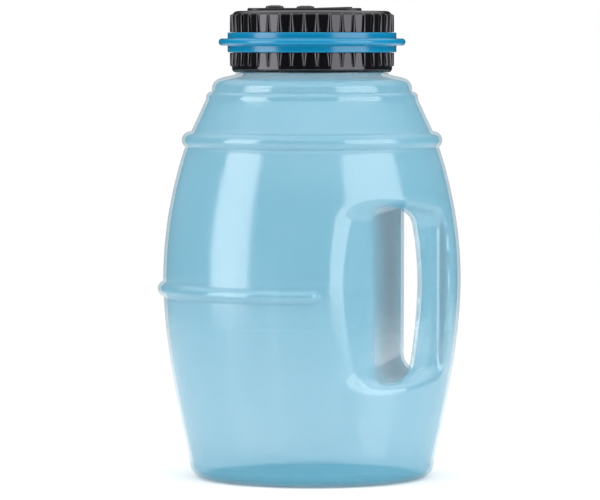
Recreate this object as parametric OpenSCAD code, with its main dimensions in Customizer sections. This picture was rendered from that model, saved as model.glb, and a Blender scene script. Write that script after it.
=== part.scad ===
// Digital coin counting jar
// A see-through barrel with a hollow grip moulded into one side. Its ribbed screw lid
// holds a coin slot, a coin-sizing lever, a display with two buttons and two AAA cells.
// Origin: centre of the base, on the surface it stands on. +Z is up, the grip is at +X.

/* [Jar] */
// Radius of the barrel at its widest
belly_r = 75.6; // [74.5:0.1:77]
// Height of the widest point
belly_z = 100; // [97:1:103]
// How much narrower the barrel is at its upper bead
upper_drop = 12.3; // [12:0.1:12.6]
// How much narrower the barrel is at its foot
lower_drop = 13.5; // [13:0.1:14]
// Wall thickness of the blown jar
wall = 1.6; // [1.2:0.1:2]
// Height of the dished centre of the base
dish_h = 4; // [2:0.5:6]

/* [Grip] */
// Distance of the slot's inner wall from the jar's axis
slot_x = 39.8; // [38:0.2:41]
// Lowest point of the slot
slot_z0 = 51.7; // [48:0.1:56]
// Highest point of the slot
slot_z1 = 138.5; // [134:0.1:140]
// Thickness of the grip, from the slot to the outside
grip_t = 17.6; // [16:0.1:18.5]
// Half of the grip's width where it meets the slot
grip_half_w = 10; // [9:0.5:11]

/* [Neck and screw thread] */
// Outer radius of the neck
neck_r = 36.6; // [36.4:0.1:36.8]
// Radius of the mouth
mouth_r = 35; // [34.8:0.1:35.2]
// Height of the rim of the mouth
rim_z = 220.7; // [220.5:0.1:220.8]
// Rise of the thread in one turn
pitch = 4; // [3.6:0.1:4.4]

/* [Lid] */
// Outer radius of the lid between its ribs
lid_r = 40.6; // [40.3:0.1:40.9]
// Height of the lid's lower edge
lid_z0 = 205.2; // [205.1:0.1:205.4]
// Height of the lid's flat top
lid_z1 = 236.3; // [236:0.1:236.8]
// Number of grip ribs around the lid
rib_count = 40; // [36:2:44]
// How far the ribs stand out
rib_out = 1.1; // [0.8:0.1:1.3]
// Outer radius of the coloured ring's lip
lip_r = 47.4; // [46.5:0.1:48]
// How far the closed lid stands turned about the jar's axis
lid_turn = 10; // [0:1:30]

/* [Coin slot] */
// Length of the coin slot
coin_slot_l = 33.4; // [32:0.2:34]
// Width of the coin slot
coin_slot_w = 3.2; // [2.8:0.1:3.4]

/* [Hidden] */
$fn = 96;
eps = 0.01;

// Jar heights
foot_h = 7.5;
foot_r = 7;
foot_in_r = 50;
foot_arc_x = 55.3;
lower_bend = 1.7;
bead2_z = 171;
bead2_x = 61.8;
bead2_r = 4.3;
taper_z0 = 175.3;
taper_r0 = 61.3;
taper_slope = 0.462;
bead1_z = 192.6;
bead1_x = 50.9;
bead1_r = 2.9;
shoulder_z = 196.9;
shoulder_x = 45.2;
shoulder_r = 5.6;
collar_r = 38.6;
collar_z = 204.9;
band_z = 95.7;
band_r = 3.85;
band_x = belly_r - 1.05;
band_angle = 200;

// Grip cut-out
flare_y = 51.5;
flare_run = 15.7 / 20.4;
grip_flare_dx = 14.2;
grip_flare_dy = 8;
slot_low_r = 7.2;
slot_out_r = 7;
slot_top_r = 5;
pocket_r = 11;
pocket_x = 21.5;
pocket_z0 = 44.5;
pocket_z1 = 146;
reach = 96;

// Lid heights, and how far its two outer edges are rounded
top_round = 3;
foot_round = 2;
ring_z0 = 215.4;
ring_z1 = 225.4;
ring_in_r = 40;
spigot_r = 39.7;
skirt_in_r = 38.1;
floor_z0 = 222.2;
floor_z1 = 223.7;
cover_z0 = 234.3;
plate_z = 237.7;
board_z0 = 229.4;
board_z1 = 231;
thread_h0 = 209.5;
thread_gap = 1.55;

// Places in the lid, seen from above with the buttons in front
plate_x0 = -32.5;
plate_x1 = 24.9;
plate_half_l = 21;
slot_cx = 10.5;
bezel_x0 = 2.2;
bezel_x1 = 20.2;
lcd_at = [-14, 5];
lcd_size = [26, 15];
buttons = [[-18.8, -12.5], [-3.3, -12.5]];
button_size = [9.2, 6.4];
button_tops = [239.1, 238.9];
button_flange = [10.4, 7.6];
lever_at = [-11.5, 7.9];
lever_rest = -20.2;
lever_l = 22;
case_screws = [[27, 14], [27, -14], [-23.6, 19.2], [-23.6, -19.2]];
case_boss_r = 2.4;
board_boss_r = 2;
small_screws = [[1.5, 18.5], [1.5, -19], [-26, -6.5]];
door_screw_at = [-25, 0];
cell_x = [-13.4, -2.6];
cell_r = 5.25;
cell_z = 216.5;
box_x0 = -20.4;
box_x1 = 4.4;
box_half_l = 26.4;
box_wall = 1.4;
box_z0 = 210.6;
door_z0 = 208.9;
door_t = 1.4;

// ---- helpers ----

// Points of an arc about (cx, cy)
function arc(cx, cy, r, from, to, steps = 8) =
    [for (i = [0:steps]) let (a = from + (to - from) * i / steps) [cx + r * cos(a), cy + r * sin(a)]];

// Outer radius of the barrel's side at height z
function barrel_r(z) =
    z > belly_z
        ? belly_r - upper_drop * pow((z - belly_z) / (bead2_z - belly_z), 2)
        : belly_r - lower_drop * pow((belly_z - z) / (belly_z - foot_h), lower_bend);

// Outer radius of the straight taper above the second bead
function taper_r(z) = taper_r0 - taper_slope * (z - taper_z0);

// Turns the lid's own layout to where it stands when it is screwed down
module in_lid() {
    rotate([0, 0, lid_turn]) children();
}

// Flat plate with round corners, centred on at, from z0 to z1
module plate(at, size, r, z0, z1) {
    translate([at[0], at[1], z0]) linear_extrude(z1 - z0) {
        square([size[0] - 2 * r, size[1]], center = true);
        square([size[0], size[1] - 2 * r], center = true);
        for (x = [-1, 1], y = [-1, 1])
            translate([x * (size[0] / 2 - r), y * (size[1] / 2 - r)]) circle(r, $fn = 32);
    }
}

// Box between two corners
module block(low, high) {
    translate(low) cube([high[0] - low[0], high[1] - low[1], high[2] - low[2]]);
}

// Round bar standing on z0
module post(at, r, z0, z1) {
    translate([at[0], at[1], z0]) cylinder(r = r, h = z1 - z0, $fn = 48);
}

// Screw with a cheese head below z and its shank going up from it
module screw_up(at, z, head_r, head_h, shank_r, shank_l) {
    difference() {
        union() {
            post(at, head_r, z - head_h, z);
            post(at, shank_r, z - eps, z + shank_l);
        }
        for (turn = [0, 90])
            translate([at[0], at[1], z - head_h]) rotate([0, 0, turn])
                cube([head_r * 1.2, head_r * 0.3, head_h], center = true);
    }
}

// Screw thread: a blunt ridge that winds up from angle a0 to a1 and fades out at both ends
module thread(root_r, crest_r, root_w, crest_w, z_at_0, a0, a1, step = 7.5) {
    count = ceil((a1 - a0) / step);
    fade = 3;
    function tip(i) = root_r + (crest_r - root_r) * (0.06 + 0.94 * min(1, min(i, count - i) / fade));
    points = [
        for (i = [0:count])
            let (a = a0 + (a1 - a0) * i / count, z = z_at_0 + pitch * a / 360)
            for (p = [[root_r, -root_w], [tip(i), -crest_w], [tip(i), crest_w], [root_r, root_w]])
                [p[0] * cos(a), p[0] * sin(a), z + p[1] / 2]
    ];
    // Outward threads and inward threads run round their section the opposite way
    out = crest_r > root_r;
    sides = [
        for (i = [0:count - 1], k = [0:3])
            let (a = 4 * i + k, b = 4 * i + (k + 1) % 4, c = b + 4, d = a + 4)
            each out ? [[a, b, c], [a, c, d]] : [[a, c, b], [a, d, c]]
    ];
    last = 4 * count;
    ends = out
        ? [[3, 2, 1, 0], [last, last + 1, last + 2, last + 3]]
        : [[0, 1, 2, 3], [last + 3, last + 2, last + 1, last]];
    polyhedron(points, concat(sides, ends), convexity = 8);
}

// Coil spring of round wire along +Z whose turns narrow from r0 to r1
module coil(r0, r1, wire_r, length, turns) {
    per_turn = 16;
    ring = 8;
    count = per_turn * turns;
    points = [
        for (i = [0:count])
            let (t = i / count, a = 360 * turns * t, r = r0 + (r1 - r0) * t)
            for (k = [0:ring - 1])
                let (b = 360 * k / ring, rr = r + wire_r * cos(b))
                [rr * cos(a), rr * sin(a), wire_r + (length - 2 * wire_r) * t + wire_r * sin(b)]
    ];
    sides = [
        for (i = [0:count - 1], k = [0:ring - 1])
            let (a = ring * i + k, b = ring * i + (k + 1) % ring)
            each [[a, b, b + ring], [a, b + ring, a + ring]]
    ];
    ends = [[for (k = [ring - 1:-1:0]) k], [for (k = [0:ring - 1]) ring * count + k]];
    polyhedron(points, concat(sides, ends), convexity = 6);
}

// Grip ribs up the lid's side, with a round tip at z_tip
module ribs(z_root, z_tip) {
    rib_r = 1.3;
    way = z_tip > z_root ? 1 : -1;
    for (i = [0:rib_count - 1])
        rotate([0, 0, 360 * (i + 0.5) / rib_count]) translate([lid_r + rib_out - rib_r, 0, 0]) {
            translate([0, 0, min(z_root, z_tip - way * rib_r)])
                cylinder(r = rib_r, h = abs(z_tip - z_root) - rib_r, $fn = 24);
            translate([0, 0, z_tip - way * rib_r]) sphere(rib_r, $fn = 24);
        }
}

// ---- jar ----

// Outline of the jar's outside from the axis round to the axis again
module jar_outline() {
    polygon(concat(
        [for (i = [0:6]) let (r = foot_in_r * i / 6) [r, dish_h * (1 - pow(r / foot_in_r, 2))]],
        arc(foot_arc_x, foot_r, foot_r, -90, 0),
        [for (z = [foot_h:7.25:167]) [barrel_r(z), z]],
        arc(bead2_x, bead2_z, bead2_r, -56, 90, 12),
        [[taper_r(taper_z0), taper_z0]],
        arc(bead1_x, bead1_z, bead1_r, -17, 90, 10),
        arc(shoulder_x, shoulder_z, shoulder_r, 0, 75),
        [[collar_r, 204.2], [collar_r, collar_z], [neck_r, collar_z]],
        [[neck_r, rim_z - 0.4], [neck_r - 0.4, rim_z], [0, rim_z]]
    ));
}

// Outline of the space inside the jar
module hollow_outline() {
    taper_wall = wall / cos(atan(taper_slope));
    polygon(concat(
        [for (i = [0:6]) let (r = foot_in_r * i / 6) [r, wall + dish_h * (1 - pow(r / foot_in_r, 2))]],
        arc(foot_arc_x, foot_r, foot_r - wall, -90, 0),
        [for (z = [foot_h:7.25:167]) [barrel_r(z) - wall, z]],
        arc(bead2_x, bead2_z, bead2_r - wall, -56, 90, 12),
        [[taper_r(taper_z0 - wall) - taper_wall, taper_z0 - wall]],
        arc(bead1_x, bead1_z, bead1_r - wall, -17, 90, 10),
        [[shoulder_x + shoulder_r - wall, bead1_z + bead1_r - wall]],
        arc(shoulder_x, shoulder_z, shoulder_r - wall, 0, 75),
        [[mouth_r + 1.5, 203], [mouth_r, 204.4], [mouth_r, rim_z + 1], [0, rim_z + 1]]
    ));
}

// Raised band round the side away from the grip, with slightly fuller round ends
module band(r) {
    past = 0.4;
    fuller = 0.1;
    rotate([0, 0, 180 - band_angle / 2]) {
        translate([0, 0, band_z]) rotate_extrude(angle = band_angle) translate([band_x, 0]) circle(r, $fn = 32);
        for (a = [-past, band_angle + past])
            rotate([0, 0, a]) translate([band_x, 0, band_z]) sphere(r + fuller, $fn = 32);
    }
}

// Slot and the finger pockets on both sides of it, grown all over by g
module grip_cut(g) {
    grip_x = barrel_r(belly_z) - grip_t;
    edge_x = barrel_r(slot_z1 - slot_out_r) - grip_t;
    foot_x = barrel_r(slot_z0 + slot_out_r) - grip_t;
    // Straight slot, whose outer side follows the barrel
    translate([0, reach, 0]) rotate([90, 0, 0]) linear_extrude(2 * reach) polygon(concat(
        arc(slot_x + slot_low_r, slot_z0 + slot_low_r, slot_low_r + g, 180, 270),
        arc(foot_x - slot_out_r, slot_z0 + slot_out_r, slot_out_r + g, 270, 360),
        [for (z = [slot_z0 + 15:12:slot_z1 - 12]) [barrel_r(z) - grip_t + g, z]],
        arc(edge_x - slot_out_r, slot_z1 - slot_out_r, slot_out_r + g, 0, 90),
        arc(slot_x + slot_top_r, slot_z1 - slot_top_r, slot_top_r + g, 90, 180)
    ));
    // Finger pockets: the flared plan, side view and front view that they share
    lean = sqrt(1 + flare_run * flare_run);
    flare_far = slot_x - g * lean - flare_run * (reach - flare_y);
    edge_shift = g * (lean - 1) / flare_run;
    grip_len = sqrt(grip_flare_dx * grip_flare_dx + grip_flare_dy * grip_flare_dy);
    grip_shift = g * grip_len / grip_flare_dx;
    function grip_y(x) = grip_half_w - grip_shift + (x - grip_x) * grip_flare_dy / grip_flare_dx;
    intersection() {
        translate([0, 0, pocket_z0 - 10]) linear_extrude(pocket_z1 - pocket_z0 + 20) polygon([
            [slot_x - g, flare_y - edge_shift], [flare_far, reach], [reach, reach],
            [reach, grip_y(reach)], [slot_x + 6, grip_y(slot_x + 6)],
            [slot_x + 6, -grip_y(slot_x + 6)], [reach, -grip_y(reach)],
            [reach, -reach], [flare_far, -reach], [slot_x - g, edge_shift - flare_y]
        ]);
        rotate([90, 0, 90]) linear_extrude(reach) polygon([
            [-reach, 149 + g], [-30, slot_z1 + g], [30, slot_z1 + g], [reach, 149 + g],
            [reach, 41 - g], [30, slot_z0 - g], [-30, slot_z0 - g], [-reach, 41 - g]
        ]);
        translate([0, reach, 0]) rotate([90, 0, 0]) linear_extrude(2 * reach) polygon(concat(
            arc(pocket_x + pocket_r, pocket_z0 + pocket_r, pocket_r + g, 180, 270),
            [[reach, pocket_z0 - g], [reach, pocket_z1 + g]],
            arc(pocket_x + pocket_r, pocket_z1 - pocket_r, pocket_r + g, 90, 180)
        ));
    }
}

module jar_body() {
    color([0.56, 0.78, 0.87, 0.6]) difference() {
        union() {
            rotate_extrude() jar_outline();
            band(band_r);
            thread(neck_r - 0.3, neck_r + 1.2, 2, 0.9, thread_h0, 0, 450);
        }
        difference() {
            union() {
                rotate_extrude() hollow_outline();
                band(band_r - wall);
            }
            grip_cut(wall);
        }
        grip_cut(0);
    }
}

// Flat ring that the jar's rim presses into
module lid_seal() {
    color("whitesmoke") rotate_extrude() polygon([
        [34.9, 221.1], [35.2, 220.95], [37.3, 220.95], [37.6, 221.1],
        [37.6, 222], [34.9, 222]
    ]);
}

// ---- lid shells ----

module lid_lower_housing() {
    color([0.08, 0.08, 0.09]) {
        difference() {
            union() {
                // Skirt, its narrower part inside the coloured ring, and the floor
                rotate_extrude() polygon(concat(
                    [[skirt_in_r, floor_z0], [skirt_in_r, lid_z0 + 0.4], [skirt_in_r + 0.4, lid_z0]],
                    arc(lid_r - foot_round, lid_z0 + foot_round, foot_round, -90, 0, 6),
                    [[lid_r, ring_z0 - 0.1], [spigot_r, ring_z0 - 0.1], [spigot_r, ring_z1 - 0.2]],
                    [[38.6, ring_z1 - 0.2], [38.6, 227.2], [37.3, 227.2]],
                    [[37.3, floor_z1], [0, floor_z1], [0, floor_z0]]
                ));
                ribs(ring_z0 - 0.3, 208.2);
                // Lip that plugs the jar's mouth
                rotate_extrude() polygon([[33.9, 217.8], [34.3, 217.8], [34.6, 218.4], [34.6, floor_z0 + eps],
                    [33.9, floor_z0 + eps]]);
                in_lid() {
                    block([box_x0, -box_half_l, box_z0], [box_x1, box_half_l, floor_z0 + eps]);
                    post(door_screw_at, 3, box_z0, floor_z0 + eps);
                    block([door_screw_at[0], -0.7, box_z0 + 1], [box_x0 + eps, 0.7, floor_z0 + eps]);
                    post(lever_at, 2.6, floor_z1 - eps, 223.9);
                }
                thread(skirt_in_r + 0.3, skirt_in_r - 1.2, 1.8, 0.8, thread_h0 - thread_gap, -90, 270);
            }
            in_lid() {
                // Room for the two cells, and the ways out of it for their contacts
                block([box_x0 + box_wall, -box_half_l + box_wall, box_z0 - 1],
                    [box_x1 - box_wall, box_half_l - box_wall, floor_z0]);
                for (x = cell_x) plate([x, 24.45], [4.4, 1.1], 0.3, floor_z0 - 1, floor_z1 + 1);
                plate([slot_cx, 0], [6.2, 36.6], 0.3, floor_z0 - 1, floor_z1 + 1);
                post(door_screw_at, 1.3, box_z0 - 1, 219);
                post(lever_at, 1.02, floor_z0 + 0.5, floor_z1 + 1);
                for (at = case_screws) post(at, 1.7, floor_z0 - 1, floor_z1 + 1);
            }
        }
    }
}

module lid_trim_ring() {
    edge = 0.5;
    lip_half = 1.8;
    lip_z = (ring_z0 + ring_z1) / 2 + 0.2;
    band_out = lid_r + 2.2;
    color([0.11, 0.56, 0.78]) rotate_extrude() {
        polygon(concat(
            [[ring_in_r, ring_z0]], arc(band_out - edge, ring_z0 + edge, edge, -90, 0, 4),
            arc(band_out - edge, ring_z1 - edge, edge, 0, 90, 4), [[ring_in_r, ring_z1]]
        ));
        translate([band_out - 1, lip_z - lip_half]) square([lip_r - lip_half - band_out + 1, 2 * lip_half]);
        translate([lip_r - lip_half, lip_z]) circle(lip_half, $fn = 48);
    }
}

module lid_top_housing() {
    color([0.08, 0.08, 0.09]) difference() {
        union() {
            rotate_extrude() polygon(concat(
                [[spigot_r - 0.8, cover_z0], [spigot_r - 0.8, ring_z1 + 0.1], [lid_r, ring_z1 + 0.1]],
                arc(lid_r - top_round, lid_z1 - top_round, top_round, 0, 90, 8),
                [[0, lid_z1], [0, cover_z0]]
            ));
            ribs(ring_z1 + 0.1, 234.8);
            in_lid() {
                // Raised plate that carries the display, the buttons and the coin slot
                plate([(plate_x0 + plate_x1) / 2, 0], [plate_x1 - plate_x0, 2 * plate_half_l], 8,
                    lid_z1 - eps, plate_z);
                for (at = case_screws) post(at, case_boss_r, floor_z1 + 0.1, cover_z0 + eps);
                for (at = small_screws) post(at, board_boss_r, board_z1, cover_z0 + eps);
            }
        }
        in_lid() {
            plate(lcd_at, [lcd_size[0] + 0.2, lcd_size[1] + 0.2], 1.5, plate_z - 1.2, plate_z + 1);
            plate(lcd_at, [lcd_size[0] - 3, lcd_size[1] - 3], 0.6, cover_z0 - 1, plate_z);
            plate(lcd_at, [lcd_size[0] + 0.4, lcd_size[1] + 0.4], 0.4, cover_z0 - 1, cover_z0 + 1);
            for (at = buttons) plate(at, [button_size[0] + 0.6, button_size[1] + 0.6], 2.3, cover_z0 - 1, 240);
            plate([(bezel_x0 + bezel_x1) / 2, 0], [bezel_x1 - bezel_x0 + 0.3, 38.3], 3, plate_z - 1, plate_z + 1);
            plate([slot_cx, 0], [coin_slot_w + 0.6, coin_slot_l + 0.6], 1.2, cover_z0 - 1, plate_z);
            for (at = case_screws) post(at, 1.3, floor_z1 - 1, 232);
            for (at = small_screws) post(at, 0.8, board_z1 - 1, 234.8);
        }
    }
}

// ---- coin path ----

// Sloping surround of the coin slot
module coin_slot_bezel() {
    color([0.1, 0.1, 0.11]) in_lid() difference() {
        intersection() {
            plate([(bezel_x0 + bezel_x1) / 2, 0], [bezel_x1 - bezel_x0, 38], 2.9, plate_z - 0.95, plate_z + 2);
            translate([0, 30, 0]) rotate([90, 0, 0]) linear_extrude(60) polygon([
                [bezel_x0, plate_z - 1], [bezel_x1, plate_z - 1], [bezel_x1, plate_z + 0.6],
                [bezel_x0, plate_z + 0.1]
            ]);
        }
        plate([slot_cx, 0], [coin_slot_w, coin_slot_l], 1, plate_z - 2, plate_z + 3);
        // Funnel that leads the coin into the slot
        translate([0, coin_slot_l / 2, 0]) rotate([90, 0, 0]) linear_extrude(coin_slot_l) polygon([
            [slot_cx - coin_slot_w / 2, plate_z - 0.5], [slot_cx + coin_slot_w / 2, plate_z - 0.5],
            [slot_cx + coin_slot_w / 2 + 2, plate_z + 1.5], [slot_cx - coin_slot_w / 2 - 2, plate_z + 1.5]
        ]);
    }
}

// Tube that guides the coin past the lever and out through the lid's floor
module coin_chute() {
    color("dimgray") in_lid() difference() {
        union() {
            plate([slot_cx, 0], [5.9, 36.3], 1, 218.8, 234.1);
            plate([slot_cx, 0], [9, 39], 1, floor_z1 + 0.05, floor_z1 + 1);
        }
        plate([slot_cx, 0], [coin_slot_w + 0.3, coin_slot_l + 0.4], 0.5, 218, 236);
        block([slot_cx - 10, -3.6, 224.9], [slot_cx + 10, 17.6, 228.2]);
    }
}

// Lever that each coin pushes aside as it drops
module coin_lever() {
    color("white") in_lid() translate([lever_at[0], lever_at[1], 0]) difference() {
        union() {
            post([0, 0], 3.2, 225.3, 229);
            rotate([0, 0, lever_rest]) {
                block([0, -2, 225.3], [15, 2, 227.3]);
                block([14, -1.3, 225.3], [lever_l + 1.7, 1.3, 227.3]);
                post([lever_l + 1.7, 0], 1.3, 225.3, 227.3);
            }
        }
        post([0, 0], 1.05, 224, 230);
    }
}

// Sprung double contact that slides over the board's tracks
module lever_wiper() {
    color("goldenrod") in_lid() translate([lever_at[0], lever_at[1], 0]) rotate([0, 0, lever_rest]) {
        block([4.2, -1.6, 227.3], [12, 1.6, 227.6]);
        for (y = [-1.2, 1.2]) {
            translate([12, y + 0.4, 227.3]) rotate([90, 0, 0]) linear_extrude(0.8)
                polygon([[-0.3, 0], [0, 0], [-3.6, 1.5], [-4.1, 1.6], [-4.6, 1.4], [-4.5, 1.2], [-3.9, 1.3]]);
        }
    }
}

module lever_pin() {
    color("silver") in_lid() {
        post(lever_at, 1, floor_z0 + 0.5, 229.2);
    }
}

// Wire spring round the pin: two turns, one leg to the rear and one under the lever
module lever_spring() {
    wire = 0.18;
    leg_r = 0.2;
    coil_r = 2.1;
    coil_h = 1.2;
    color("silver") in_lid() translate([lever_at[0], lever_at[1], 223.95]) rotate([0, 0, lever_rest - 90]) {
        coil(coil_r, coil_r, wire, coil_h, 2);
        translate([coil_r, -0.3, coil_h - wire]) rotate([-90, 0, 0]) cylinder(r = leg_r, h = 12, $fn = 16);
        translate([coil_r, 0.3, wire + 0.05]) rotate([90, 0, 0]) cylinder(r = leg_r, h = 7, $fn = 16);
    }
}

// ---- display and electronics ----

module lcd_window() {
    color([0.75, 0.8, 0.8, 0.5]) in_lid() plate(lcd_at, lcd_size, 1.4, plate_z - 1.2, plate_z);
}

module lcd_frame() {
    color("white") in_lid() difference() {
        plate(lcd_at, [28, 18], 0.8, board_z1 + 0.05, cover_z0 - 0.05);
        plate(lcd_at, [lcd_size[0] + 0.2, lcd_size[1] + 0.2], 0.3, 233, 236);
        plate(lcd_at, [24.4, 13.2], 0.3, board_z1 - 1, 236);
        block([lcd_at[0] - 12.6, lcd_at[1] - 6.7, board_z1 - 1], [lcd_at[0] + 12.6, lcd_at[1] - 4.5, 234]);
    }
}

module lcd_panel() {
    color([0.62, 0.68, 0.6]) in_lid() {
        plate(lcd_at, lcd_size, 0.2, 233.2, 234.2);
        plate([lcd_at[0], lcd_at[1] + 1], [lcd_size[0], lcd_size[1] - 2], 0.2, 234.2 - eps, 235.2);
    }
}

module zebra_strip() {
    color("pink") in_lid() block([lcd_at[0] - 12, lcd_at[1] - 6.5, board_z1 + 0.05],
        [lcd_at[0] + 12, lcd_at[1] - 4.7, 233.15]);
}

module circuit_board() {
    color("seagreen") in_lid() difference() {
        plate([-11.5, 0], [34, 42], 1.5, board_z0, board_z1 - 0.05);
        for (at = case_screws) post(at, case_boss_r + 0.6, board_z0 - 1, board_z1 + 1);
        for (at = small_screws) post(at, 0.9, board_z0 - 1, board_z1 + 1);
    }
}

// Domed blob of resin over the bare chip
module controller_chip() {
    blob_r = 7;
    blob_h = 1.5;
    color([0.06, 0.06, 0.06]) in_lid() intersection() {
        translate([lcd_at[0], lcd_at[1] + 1.5, board_z1 + blob_h - blob_r]) sphere(blob_r);
        plate([lcd_at[0], lcd_at[1] + 1.5], [14, 14], 1, board_z1, board_z1 + 3);
    }
}

module tact_switches() {
    in_lid() for (at = buttons) {
        color("gainsboro") plate(at, [6, 6], 0.4, board_z1, board_z1 + 0.95);
        color([0.1, 0.1, 0.1]) post(at, 1.7, board_z1 + 0.9, board_z1 + 1.25);
    }
}

// Button cap with a rounded top edge, a flange that keeps it in and a stem
module button(at, top) {
    edge = 0.5;
    color([0.07, 0.07, 0.08]) in_lid() {
        plate(at, button_size, 2, cover_z0 - 0.3, top - edge);
        plate(at, [button_size[0] - 2 * edge, button_size[1] - 2 * edge], 2 - edge, top - edge - eps, top);
        plate(at, button_flange, 1, cover_z0 - 1, cover_z0 - 0.15);
        post(at, 1.6, board_z1 + 2, cover_z0 - 1 + eps);
    }
}

module left_button() {
    button(buttons[0], button_tops[0]);
}

module right_button() {
    button(buttons[1], button_tops[1]);
}

module board_screws() {
    color("silver") in_lid() for (at = small_screws) screw_up(at, board_z0, 1.6, 1.1, 0.78, 4.2);
}

// ---- batteries ----

// AAA cell lying along Y with its nub at the end that way points to
module cell(x, way) {
    color([0.2, 0.22, 0.25]) in_lid() translate([x, way * 1.65, cell_z]) rotate([-90 * way, 0, 0]) {
        translate([0, 0, -22.25]) cylinder(r = cell_r, h = 43.5);
        translate([0, 0, 21.2]) cylinder(r = 1.9, h = 1.05, $fn = 48);
    }
}

module battery_left() {
    cell(cell_x[0], -1);
}

module battery_right() {
    cell(cell_x[1], 1);
}

// Sprung end for a cell's flat face: it stands on the box's end wall at way
module cell_spring(x, way) {
    translate([x, way * 24.6, cell_z]) rotate([90 * way, 0, 0]) coil(3.2, 2.2, 0.3, 4, 3);
}

// Plate that joins the two cells at the far end of the box
module contact_link() {
    color("silver") in_lid() {
        block([cell_x[0] - 4, -24.9, cell_z - 4.5], [cell_x[1] + 4, -24.6, cell_z + 4.5]);
        translate([cell_x[0], -24.65, cell_z]) rotate([-90, 0, 0]) cylinder(r = 2, h = 0.6, $fn = 48);
        cell_spring(cell_x[1], -1);
    }
}

// End plate of one cell with a tab that stands up through the floor
module end_plate(x) {
    block([x - 4, 24.6, cell_z - 4.5], [x + 4, 24.9, cell_z + 4.5]);
    block([x - 1.8, 24.6, cell_z], [x + 1.8, 24.9, 225.4]);
}

module contact_negative() {
    color("silver") in_lid() {
        end_plate(cell_x[0]);
        cell_spring(cell_x[0], 1);
    }
}

module contact_positive() {
    color("silver") in_lid() {
        end_plate(cell_x[1]);
        translate([cell_x[1], 24.65, cell_z]) rotate([90, 0, 0]) cylinder(r = 2, h = 0.6, $fn = 48);
    }
}

// Insulated wire from a contact's tab up to the board
module battery_wire(x) {
    wire_r = 0.6;
    bend = 1.6;
    translate([x, 24, 0]) {
        post([0, 0], wire_r, 224.4, 226);
        translate([0, -bend, 226]) rotate([90, 0, 90]) rotate_extrude(angle = 90)
            translate([bend, 0]) circle(wire_r, $fn = 24);
        translate([0, -bend, 226 + 2 * bend]) rotate([90, 0, 90]) rotate([0, 0, 180]) rotate_extrude(angle = 90)
            translate([bend, 0]) circle(wire_r, $fn = 24);
    }
}

module battery_wire_red() {
    color("red") in_lid() battery_wire(cell_x[1]);
}

module battery_wire_black() {
    color([0.1, 0.1, 0.1]) in_lid() battery_wire(cell_x[0]);
}

module battery_door() {
    color([0.12, 0.12, 0.13]) in_lid() difference() {
        union() {
            plate([(box_x0 + box_x1) / 2, 0], [box_x1 - box_x0, 2 * box_half_l], 1, door_z0, door_z0 + door_t);
            plate([-23, 0], [12.4, 8.4], 3.5, door_z0, door_z0 + door_t);
            plate([-8, 0], [1.2, 46], 0.4, door_z0 + door_t - eps, 212.4);
            for (y = [-1, 1])
                plate([-8, y * 24.2], [18, 1], 0.4, door_z0 + door_t - eps, 211.6);
        }
        post(door_screw_at, 1.35, door_z0 - 1, door_z0 + door_t + 1);
        // Finger grooves
        for (y = [12:2:20]) plate([-8, -y], [12, 0.8], 0.3, door_z0 - 1, door_z0 + 0.4);
    }
}

module battery_door_screw() {
    color("silver") in_lid() screw_up(door_screw_at, door_z0, 2.6, 1.4, 1.22, 8);
}

module housing_screws() {
    color("silver") in_lid() for (at = case_screws) screw_up(at, floor_z0 - 0.05, 2.8, 1.6, 1.28, 9);
}

jar_body();
lid_seal();
lid_lower_housing();
lid_trim_ring();
lid_top_housing();
coin_slot_bezel();
coin_chute();
coin_lever();
lever_wiper();
lever_pin();
lever_spring();
lcd_window();
lcd_frame();
lcd_panel();
zebra_strip();
circuit_board();
controller_chip();
tact_switches();
left_button();
right_button();
board_screws();
battery_left();
battery_right();
contact_link();
contact_negative();
contact_positive();
battery_wire_red();
battery_wire_black();
battery_door();
battery_door_screw();
housing_screws();
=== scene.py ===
"""Digital coin counting jar: a see-through barrel with a hollow grip and a ribbed counting lid."""
import math

import bpy
import numpy as np
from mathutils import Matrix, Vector


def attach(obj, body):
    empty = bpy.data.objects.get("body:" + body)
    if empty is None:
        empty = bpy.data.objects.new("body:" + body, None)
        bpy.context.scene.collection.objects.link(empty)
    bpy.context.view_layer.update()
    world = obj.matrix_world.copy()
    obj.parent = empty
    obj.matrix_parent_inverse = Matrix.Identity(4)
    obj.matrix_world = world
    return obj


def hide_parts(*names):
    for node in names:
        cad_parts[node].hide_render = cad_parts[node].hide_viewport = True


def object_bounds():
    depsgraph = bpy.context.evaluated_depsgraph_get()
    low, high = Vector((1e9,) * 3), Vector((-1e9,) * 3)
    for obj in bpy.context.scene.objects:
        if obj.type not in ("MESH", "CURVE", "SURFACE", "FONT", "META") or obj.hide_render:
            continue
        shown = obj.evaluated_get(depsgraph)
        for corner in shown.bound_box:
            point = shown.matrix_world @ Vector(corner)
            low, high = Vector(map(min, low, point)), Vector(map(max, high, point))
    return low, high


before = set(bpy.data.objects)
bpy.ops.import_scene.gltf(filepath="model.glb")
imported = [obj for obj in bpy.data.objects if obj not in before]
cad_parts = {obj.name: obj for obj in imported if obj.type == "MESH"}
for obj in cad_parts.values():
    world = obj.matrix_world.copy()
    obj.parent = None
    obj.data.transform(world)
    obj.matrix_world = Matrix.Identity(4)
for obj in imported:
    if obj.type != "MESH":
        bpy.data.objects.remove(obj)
CAD_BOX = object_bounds()

MM = 0.001

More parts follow.
